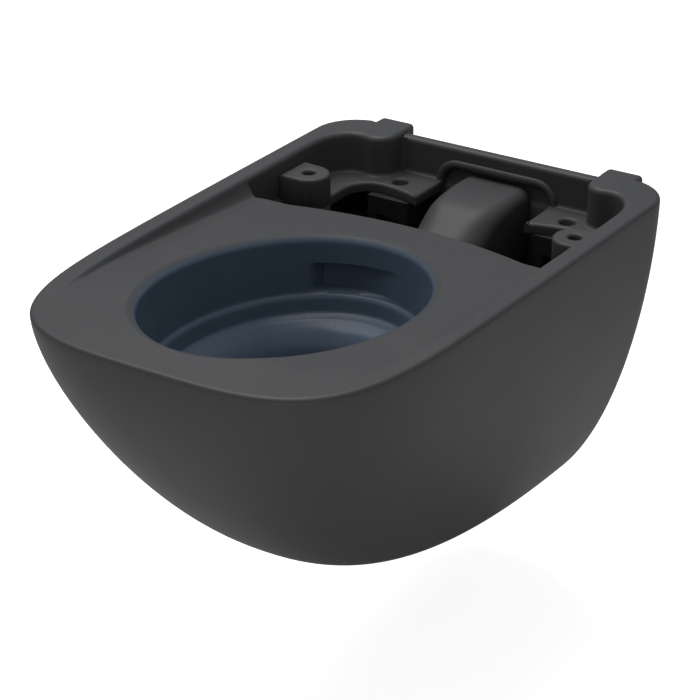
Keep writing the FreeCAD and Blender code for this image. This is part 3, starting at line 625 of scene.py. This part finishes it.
def makeBowl():
    # ellipses about one axis: a quarter circle over the lip, a tapering wall down to the tilted ledge,
    # the smooth profile of the basin and the leaning rings of the sump; the back is set out by the wall
    turn = np.linspace(0, 2 * np.pi, bowl["columns"], endpoint=False)
    c, s = np.cos(turn), np.sin(turn)
    a, b, centre = bowl["acrossLip"], bowl["alongLip"], bowl["centre"]
    tilt = bowl["tilt"] * (1 + s) / 2

    roll = quarterTurn(bowl["lipRows"])[:, None]
    off = bowl["lip"] * (1 - np.sin(roll))
    x, y = (a + off) * c, centre + (b + off) * s
    lipRows = [x, y, deckDepth(x, y) + bowl["lip"] * (1 - np.cos(roll))]
    lipTop, lipFoot = lipRows[2][0], lipRows[2][-1]

    down = np.linspace(0, 1, bowl["wallRows"])[1:, None]
    off = -bowl["taper"] * down
    x, y = (a + off) * c, centre + (b + off) * s
    wallRows = [x, y, lipFoot + (bowl["ledge"] + tilt - lipFoot) * down]

    profile = smoothCurve(bowl["profile"], bowl["perSpan"])
    depth, grow, stretch, shift = (profile[:, k, None] for k in range(4))
    level = np.clip((bowl["levelAt"] - depth) / bowl["levelOver"], 0, 1)
    basinRows = [(a + grow) * c, centre + shift + (b + grow + stretch) * s, depth + tilt * level]

    start = (centre + bowl["sumpStart"][0], *bowl["sumpStart"][1:])
    rings = smoothCurve([start] + bowl["sump"], bowl["perSpan"])[1:]
    middle, depth, across, along, lean = (rings[:, k, None] for k in range(5))
    sumpRows = [across * c, middle + along * np.cos(lean) * s, depth - along * np.sin(lean) * s]

    x, y, depth = (np.concatenate(parts) for parts in zip(lipRows, wallRows, basinRows, sumpRows))
    y = y + slotRecess(x, depth, s)
    glaze = np.clip((depth - lipTop - bowl["glazeFrom"]) / bowl["glazeOver"], 0, 1)
    inside = place(x, y, depth)
    keep = np.arange(len(lipRows[0]) - 1, len(x), bowl["backStep"])
    outside = place(x[keep] + bowl["wall"] * c, y[keep] + bowl["wall"] * s,
                    np.maximum(depth[keep], lipTop + bowl["backTop"]))
    body = np.concatenate([outside[::-1], inside, outside[-1:]])
    bare = np.zeros((len(keep), len(turn)))
    cover = np.concatenate([bare, glaze, bare[-1:]])
    sheet = (body.reshape(-1, 3), gridFaces(len(body), len(turn), wrap=True).tolist())
    addPiece("bowl", [sheet], navy, ["bowl_ring", "bowl_basin", "bowl_sump"],
             glaze=cover.ravel())


# Flush hump: rounded sections from the wall to the bowl

hump = {
    "rear": -24.0, "socket": 33.5, "bore": 27.5, "axis": 65.0, "boreEnd": -54.0, "boreClose": 2.0,
    "mouth": -2.0, "chamfer": 0.6, "lowCorner": 8.0, "cornerSteps": 12, "perSpan": 6, "tip": 0.02,
    "aim": (0, -120, 35),
    # place, top, foot, half width, shoulder
    "stations": [(-24, 29, 101, 36, 12), (-54, 29, 101, 36, 12), (-84, 30, 101, 36, 17),
                 (-100, 34, 100, 36, 23), (-116, 42, 97, 36.5, 28), (-132, 49, 93, 37.5, 30),
                 (-152, 51, 90, 39, 28), (-176, 50, 86, 42, 22), (-196, 48, 82, 44, 17),
                 (-209, 47, 81, 45, 16)],
}


def roundSection(half, top, foot, shoulder):
    # a rounded rectangle by quarter turns: wide shoulders above, small corners below
    low = hump["lowCorner"]
    corners = ((half - shoulder, top + shoulder, shoulder), (shoulder - half, top + shoulder, shoulder),
               (low - half, foot - low, low), (half - low, foot - low, low))
    parts = []
    for k, (x, depth, r) in enumerate(corners):
        turn = quarterTurn(hump["cornerSteps"]) + k * np.pi / 2
        parts.append(np.stack([x + r * np.cos(turn), depth - r * np.sin(turn)], axis=1))
    return np.concatenate(parts)


def inletRing(radius, y):
    # a circle round the inlet's axis with as many points as a section
    turn = np.concatenate([quarterTurn(hump["cornerSteps"]) + k * np.pi / 2 for k in range(4)])
    return place(radius * np.cos(turn), y, hump["axis"] - radius * np.sin(turn))[None]


def makeFlushHump():
    # the inlet's bore and socket as rings, then the sections along their smooth stations, drawn in at the tip
    path = smoothCurve(hump["stations"], hump["perSpan"])
    sections = np.stack([roundSection(half, top, foot, shoulder) for _, top, foot, half, shoulder in path])
    body = place(sections[..., 0], path[:, 0, None], sections[..., 1])
    bore, socket, mouth, chamfer = (hump[key] for key in ("bore", "socket", "mouth", "chamfer"))
    inlet = [inletRing(hump["boreClose"], hump["boreEnd"]), inletRing(bore, hump["boreEnd"]),
             inletRing(bore, mouth - chamfer), inletRing(bore + chamfer, mouth),
             inletRing(socket - chamfer, mouth), inletRing(socket, mouth - chamfer),
             inletRing(socket, hump["rear"])]
    tip = body[-1:] * hump["tip"] + body[-1:].mean(axis=1, keepdims=True) * (1 - hump["tip"])
    rows = np.concatenate(inlet + [body, tip])
    sheet = surface(rows, hump["aim"], wrap=True)
    addPiece("flushHump", [sheet], matt, ["flush_channel"])


# Rear wall: a plate with its openings, a rounded coping and the raised lip of the arch

rearWall = {
    "front": -24.0, "back": -12.0, "panel": -16.0, "panelGap": 0.05, "edge": 0.3, "seam": 0.1, "endLap": 1,
    "drop": 5.0, "coping": 4.0, "copingLap": 1.5, "copingProud": 0.04,
    "archHalf": 58.0, "archTop": 24.0, "archFoot": 106.0, "archCorner": 16.0,
    "lip": 4.0, "lipOut": 0.8, "lipRise": 0.7, "lipLift": 0.4,
    "cove": 8.0, "coveLap": 1, "sill": 21.0, "sillProud": 0.5, "sillEdge": 1,
    "inlet": 34.0, "outlet": 63.0, "outletDepth": 200.0, "stud": 9.0, "studX": 90.0,
    "outlineSteps": 60, "archSteps": 10, "pipeSteps": 64, "studSteps": 40, "edgeSteps": 2,
    "copingColumns": 40, "copingSteps": 8, "lipSteps": 14, "lipColumns": 90, "coveColumns": 30, "coveRows": 12,
    "copingAim": (0, -18, 85), "lipAim": (0, -54, 60), "coveAim": (0, 60, -60),
}
copingFoot = rearWall["drop"] + rearWall["coping"]
wallEnd = tower["inner"] + rearWall["endLap"]


def archLoop(grow, count):
    # the arch's outline in the wall's plane: straight sides and quarter turns
    half, r = rearWall["archHalf"] + grow, rearWall["archCorner"] + grow
    top = rearWall["archTop"] - grow
    turn = quarterTurn(count)
    right = np.stack([half - r + r * np.cos(turn), top + r - r * np.sin(turn)], axis=1)
    left = right[::-1] * otherSide
    foot = rearWall["archFoot"]
    return np.concatenate([[(half, foot)], right, left, [(-half, foot)]])


def upright(sheet):
    # a prism drawn in plan stands up: its plan y becomes height, its depth the distance from the wall
    verts, faces = sheet
    x, y, z = verts.T / toMetres
    turned = np.stack([x, -(rimTop - z), rimTop + y], axis=1) * toMetres
    return turned, faces


def wallPlates():
    # the wall's outline follows the hull's rear plane: a front plate with the arch, a panel with the inlet
    deepest = hull["height"] - hull["keelFlat"]
    depth = np.linspace(tower["floor"], deepest, rearWall["outlineSteps"])
    half = (1 - hull["corner"] / hull["half"]) * halfWidth(-hull["setback"], depth, 0)
    right = np.concatenate([[(wallEnd, copingFoot), (wallEnd, tower["floor"])],
                            np.stack([half, depth], axis=1)])
    outline = np.concatenate([right[::-1], right * otherSide]) * np.array([1, -1])
    holes = [circleLoop(0, -rearWall["outletDepth"], rearWall["outlet"], rearWall["pipeSteps"])[::-1]]
    for x in (-rearWall["studX"], rearWall["studX"]):
        holes.append(circleLoop(x, -rimTop, rearWall["stud"], rearWall["studSteps"])[::-1])
    arch = archLoop(0, rearWall["archSteps"])[::-1] * np.array([1, -1])
    inlet = circleLoop(0, -hump["axis"], rearWall["inlet"], rearWall["pipeSteps"])[::-1]
    front, panel, back = -rearWall["front"], -rearWall["panel"], -rearWall["back"]
    edge, seam, steps = rearWall["edge"], rearWall["seam"], rearWall["edgeSteps"]
    plate = prism([outline, arch] + holes, panel, front, seam, edge, steps)
    closing = prism([outline, inlet] + holes, back, panel - rearWall["panelGap"], edge, seam, steps)
    return [upright(plate), upright(closing)]


def copingSheet():
    # a top of two quarter circles, straight from tower to tower
    x = np.linspace(-wallEnd, wallEnd, rearWall["copingColumns"])
    turn = quarterTurn(rearWall["copingSteps"])
    r, low = rearWall["coping"], copingFoot + rearWall["copingLap"]
    front, back = rearWall["front"] - rearWall["copingProud"], rearWall["back"] + rearWall["copingProud"]
    y = np.concatenate([[front], front + r * (1 - np.cos(turn)), back - r * (1 - np.sin(turn)), [back]])
    depth = np.concatenate([[low], copingFoot - r * np.sin(turn), copingFoot - r * np.cos(turn), [low]])
    return surface(place(x[None], y[:, None], depth[:, None]), rearWall["copingAim"])


def archLipSheet():
    # a flattened circle carried round the arch
    lip = rearWall["lip"]
    path = evenly(archLoop(lip * rearWall["lipOut"], rearWall["lipSteps"]), rearWall["lipColumns"])
    turn = np.linspace(0, 2 * np.pi, rearWall["lipSteps"], endpoint=False)[:, None]
    plan = path[None] + rightOf(path)[None] * (lip * np.cos(turn))[..., None]
    y = rearWall["front"] - rearWall["lipLift"] - lip * rearWall["lipRise"] * np.sin(turn)
    tube = place(plan[..., 0], y, plan[..., 1])
    return surface(np.concatenate([tube, tube[:1]]), rearWall["lipAim"], away=False)


def coveSheet():
    # the arch's inside: a parabola from its top forwards to the sill, then straight down
    x = np.linspace(-rearWall["archHalf"], rearWall["archHalf"], rearWall["coveColumns"])
    fall = np.linspace(0, 1, rearWall["coveRows"])
    sill = rearWall["archTop"] + rearWall["sill"]
    y = np.concatenate([rearWall["panel"] + rearWall["coveLap"] - rearWall["cove"] * fall ** 2,
                        [rearWall["front"] + rearWall["sillProud"]] * 2])
    depth = np.concatenate([rearWall["archTop"] + rearWall["sill"] * fall,
                            [sill + rearWall["sillEdge"], rearWall["archFoot"]]])
    return surface(place(x[None], y[:, None], depth[:, None]), rearWall["coveAim"])


def makeRearWall():
    # the plates, and over them the coping, the arch's lip and its cove
    addPiece("rearWall", wallPlates() + [copingSheet(), archLipSheet(), coveSheet()], matt, ["rear_wall"])


# Shelves and bosses in the well, with the fillets where they meet the walls

shelf = {
    "top": 40.0, "foot": 50.0, "edge": 3.0, "footEdge": 1.0, "hole": 7.5, "holeX": 90.0, "holeY": -50.0,
    "fillet": 4.0, "inner": 58, "filletEnd": 2, "cornerRadius": 6.0, "cornerDepths": (5.5, 20, 40),
    "frontSteps": 10, "holeSteps": 40, "filletColumns": 12,
    "front": [(58, -74), (75, -68.5), (96, -64.5), (110, -65.5), (120, -73), (126, -86), (126, -112),
              (126, -131)],
    "rest": [(159, -131), (159, -60), (159, -26), (109, -26), (58, -26), (58, -50)],
}
boss = {
    "top": 14.0, "foot": 92.0, "x": 140.0, "y": -131.0, "radius": 20.0, "edge": 3.0, "footEdge": 1.0,
    "hole": 6.0, "holeDepth": 30.0, "seam": 0.05, "wall": 159.6, "noseSteps": 40, "holeSteps": 40,
}


def shelfLoop():
    # a smooth front edge through its points, and straight lines along the walls
    return np.concatenate([smoothCurve(shelf["front"], shelf["frontSteps"]), np.array(shelf["rest"], float)])


def bossLoop():
    # a half circle towards the well and straight sides to the wall
    x, y, r = boss["x"], boss["y"], boss["radius"]
    turn = np.linspace(np.pi / 2, 1.5 * np.pi, boss["noseSteps"])
    nose = np.stack([x + r * np.cos(turn), y + r * np.sin(turn)], axis=1)
    return np.concatenate([nose, np.array([(boss["wall"], y - r), (boss["wall"], y + r)])])


def makeShelves():
    # a plate with its hole, quarter-circle fillets along the walls, and one up the corner at the tower
    hole = circleLoop(shelf["holeX"], shelf["holeY"], shelf["hole"], shelf["holeSteps"])[::-1]
    plate = prism([shelfLoop(), hole], shelf["top"], shelf["foot"], shelf["edge"], shelf["footEdge"])
    edge = wellEdge()
    alongWell = fillet(edge, rightOf(edge), shelf["fillet"], shelf["top"])
    x = np.linspace(shelf["inner"], tower["inner"] + shelf["filletEnd"], shelf["filletColumns"])
    rear = np.stack([x, np.full(len(x), rearWall["front"])], axis=1)
    forwards = np.array([[0.0, -1.0]]).repeat(len(x), 0)
    alongRear = fillet(rear, forwards, shelf["fillet"], shelf["top"])
    turn = quarterTurn(edgeRows)
    x = tower["inner"] - shelf["cornerRadius"] * (1 - np.sin(turn))
    y = rearWall["front"] - shelf["cornerRadius"] * (1 - np.cos(turn))
    corner = place(x[None], y[None], np.array(shelf["cornerDepths"])[:, None])
    sheets = [plate, surface(alongWell, wellAbove, away=False), surface(alongRear, wellAbove, away=False),
              surface(corner, wellMiddle, away=False)]
    addPiece("rightShelf", sheets, matt, ["right_rear_shelf"])
    addPiece("leftShelf", [mirrored(sheet) for sheet in sheets], matt, ["left_rear_shelf"])


def makeBosses():
    # the boss in two lengths: down to the blind hole's floor, and the solid foot
    hole = circleLoop(boss["x"], boss["y"], boss["hole"], boss["holeSteps"])[::-1]
    floor = boss["top"] + boss["holeDepth"]
    upper = prism([bossLoop(), hole], boss["top"], floor, boss["edge"], boss["seam"])
    lower = prism([bossLoop()], floor, boss["foot"], boss["seam"], boss["footEdge"])
    addPiece("rightBoss", [upper, lower], matt, ["right_front_boss"])
    addPiece("leftBoss", [mirrored(upper), mirrored(lower)], matt, ["left_front_boss"])


makePanShell()
makeRimDeck()
makeBowl()
makeFlushHump()
makeRearWall()
makeShelves()
makeBosses()

# Finishes of the CAD nodes that stay: each takes the material of its slot in the record
slotMaterials = {name: fittingMaterial(name + "Finish", look) for name, look in fittings.items()}
slotMaterials["matt_ceramic"] = matt
slotMaterials["bowl_glaze"] = navy
for part in frame["record"]["subparts"]:
    node = frame["nodes"][part["node"]]
    if not node.hide_render:
        node.data.materials.clear()
        node.data.materials.append(slotMaterials[part["material_slot"]])
print("fittings dressed")


# Studio: a pale floor under the hung pan, soft lamps and a white surround

studio = {
    "floorZ": -0.32, "floorHalf": 6.0, "floorColour": (0.8, 0.8, 0.8), "floorRough": 0.9, "floorGlow": 0.84,
    "surround": (0.86, 0.88, 0.9), "surroundLight": 0.25, "backdrop": 1.0,
}
lamps = {
    "overhead": {"at": (-0.6, 0.0, 2.1), "aim": (0, -0.3, 0), "size": 1.8, "power": 36.0},
    "lowRight": {"at": (1.6, -1.5, -0.22), "aim": (0, -0.3, -0.2), "size": 0.9, "power": 1.6},
    "lowFront": {"at": (0.7, -2.0, -0.27), "aim": (0, -0.4, -0.2), "size": 0.8, "power": 4.0},
}
view = {
    "azimuth": 32.93, "elevation": 25.824, "distance": 2.1815, "target": (0, -0.28, 0.0),
    "focalPixels": 2500.0, "framePixels": 700.0, "sensor": 36.0, "shift": (0.00259, -0.00071),
}


def cameraSeen(tree, strength):
    # the strength for camera rays, nothing for the others
    path = tree.nodes.new("ShaderNodeLightPath")
    scale = tree.nodes.new("ShaderNodeMath")
    scale.operation = "MULTIPLY"
    tree.links.new(path.outputs["Is Camera Ray"], scale.inputs[0])
    scale.inputs[1].default_value = strength
    return scale.outputs[0]


def makeFloor():
    # one square that takes the shadow and is lifted towards white for the camera
    half = studio["floorHalf"]
    mesh = bpy.data.meshes.new("floor")
    corners = np.array([(-half, -half), (half, -half), (half, half), (-half, half)])
    verts = np.column_stack([corners, np.full(4, studio["floorZ"])])
    mesh.from_pydata(verts.tolist(), [], [(0, 1, 2, 3)])
    floor = bpy.data.objects.new("floor", mesh)
    bpy.context.scene.collection.objects.link(floor)
    material = bpy.data.materials.new("paleFloor")
    material.use_nodes = True
    tree = material.node_tree
    shader = tree.nodes["Principled BSDF"]
    shader.inputs["Base Color"].default_value = (*studio["floorColour"], 1)
    shader.inputs["Roughness"].default_value = studio["floorRough"]
    shader.inputs["Specular IOR Level"].default_value = 0.0
    shader.inputs["Emission Color"].default_value = (1, 1, 1, 1)
    tree.links.new(cameraSeen(tree, studio["floorGlow"]), shader.inputs["Emission Strength"])
    mesh.materials.append(material)


def makeSurround():
    # white where the camera looks past the pan, a plain level of light for all other rays
    world = bpy.data.worlds.new("surround")
    bpy.context.scene.world = world
    world.use_nodes = True
    tree = world.node_tree
    light = tree.nodes["Background"]
    light.inputs["Color"].default_value = (*studio["surround"], 1)
    light.inputs["Strength"].default_value = studio["surroundLight"]
    white = tree.nodes.new("ShaderNodeBackground")
    white.inputs["Color"].default_value = (1, 1, 1, 1)
    white.inputs["Strength"].default_value = studio["backdrop"]
    path = tree.nodes.new("ShaderNodeLightPath")
    mix = tree.nodes.new("ShaderNodeMixShader")
    tree.links.new(path.outputs["Is Camera Ray"], mix.inputs[0])
    tree.links.new(light.outputs[0], mix.inputs[1])
    tree.links.new(white.outputs[0], mix.inputs[2])
    tree.links.new(mix.outputs[0], tree.nodes["World Output"].inputs["Surface"])


def makeLamps():
    # square lamps, each turned so that it shines from its place to its aim
    for name, look in lamps.items():
        data = bpy.data.lights.new(name, "AREA")
        data.size = look["size"]
        data.energy = look["power"]
        lamp = bpy.data.objects.new(name, data)
        lamp.location = look["at"]
        beam = Vector(look["aim"]) - Vector(look["at"])
        lamp.rotation_euler = beam.to_track_quat("-Z", "Y").to_euler()
        bpy.context.scene.collection.objects.link(lamp)


def makeCamera():
    # back from the target along its azimuth and elevation; the lens follows from the focal length in pixels
    turn, rise = np.radians(view["azimuth"]), np.radians(view["elevation"])
    back = Vector((np.sin(turn) * np.cos(rise), -np.cos(turn) * np.cos(rise), np.sin(rise)))
    data = bpy.data.cameras.new("camera")
    data.sensor_width = view["sensor"]
    data.lens = data.sensor_width * view["focalPixels"] / view["framePixels"]
    data.shift_x, data.shift_y = view["shift"]
    camera = bpy.data.objects.new("camera", data)
    camera.location = Vector(view["target"]) + view["distance"] * back
    camera.rotation_euler = back.to_track_quat("Z", "Y").to_euler()
    bpy.context.scene.collection.objects.link(camera)
    bpy.context.scene.camera = camera


makeFloor()
makeSurround()
makeLamps()
makeCamera()
bpy.context.scene.view_settings.view_transform = "Standard"
print("studio ready")
